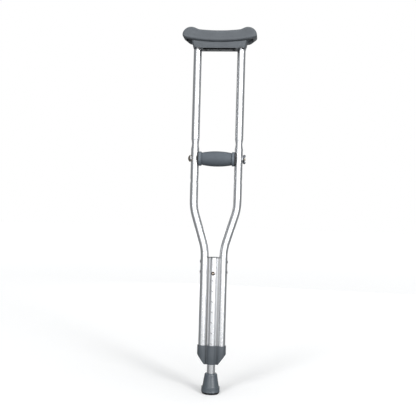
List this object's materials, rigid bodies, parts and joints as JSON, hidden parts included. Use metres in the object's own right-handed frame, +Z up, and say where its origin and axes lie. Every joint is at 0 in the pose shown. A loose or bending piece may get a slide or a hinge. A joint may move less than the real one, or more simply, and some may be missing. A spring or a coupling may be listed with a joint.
{
  "type": "underarm crutch",
  "caption": "Push-button aluminium underarm crutch with bent uprights, telescoping leg, bolted handgrip, moulded pad and rubber tip.",
  "frame": {"origin": "on the floor, under the middle of the rubber tip", "axes": "+Z up along the crutch, X across the two uprights with the bolt head at -X and the wing nut at +X, snap button facing the front at -Y"},
  "size_m": [0.2026, 0.054, 0.9989],
  "materials": {
    "tube_aluminium": "bright anodised",
    "rivet_aluminium": "plain",
    "grey_plastic": "moulded satin",
    "dark_plastic": "moulded satin",
    "pad_rubber": "soft matt",
    "grip_rubber": "soft matt",
    "tip_rubber": "satin",
    "plated_steel": "nickel plated",
    "button_metal": "plated, worn"
  },
  "bodies": {
    "frame": {"left_upright": "tube_aluminium", "right_upright": "tube_aluminium", "centre_sleeve": "tube_aluminium", "sleeve_rivets": "rivet_aluminium", "bottom_cap": "grey_plastic", "pad_saddle": "grey_plastic", "underarm_pad": "pad_rubber", "saddle_screws": "plated_steel"},
    "grip": {"handgrip": "grip_rubber", "grip_core": "dark_plastic", "left_grip_saddle": "dark_plastic", "right_grip_saddle": "dark_plastic", "grip_bolt": "plated_steel", "grip_washers": "plated_steel"},
    "nut": {"wing_nut": "plated_steel"},
    "leg": {"leg_tube": "tube_aluminium", "leg_top_bush": "dark_plastic", "button_spring": "plated_steel", "crutch_tip": "tip_rubber", "tip_washer": "plated_steel"},
    "button": {"snap_button": "button_metal"}
  },
  "joints": [
    {"name": "leg_slide", "type": "slide", "parent": "frame", "child": "leg", "axis": [0, 0, -1], "range_m": [0, 0.1716]},
    {"name": "button_press", "type": "slide", "parent": "leg", "child": "button", "axis": [0, 1, 0], "range_m": [0, 0.0048], "stiffness_N_per_m": 1500, "springref_m": -0.001, "deforming": ["button_spring"]},
    {"name": "grip_height", "type": "slide", "parent": "frame", "child": "grip", "axis": [0, 0, 1], "range_m": [-0.06075, 0.06075]},
    {"name": "wing_nut_turn", "type": "hinge", "parent": "grip", "child": "nut", "pos_m": [0.075, 0, 0.64145], "axis": [1, 0, 0], "continuous": true}
  ]
}
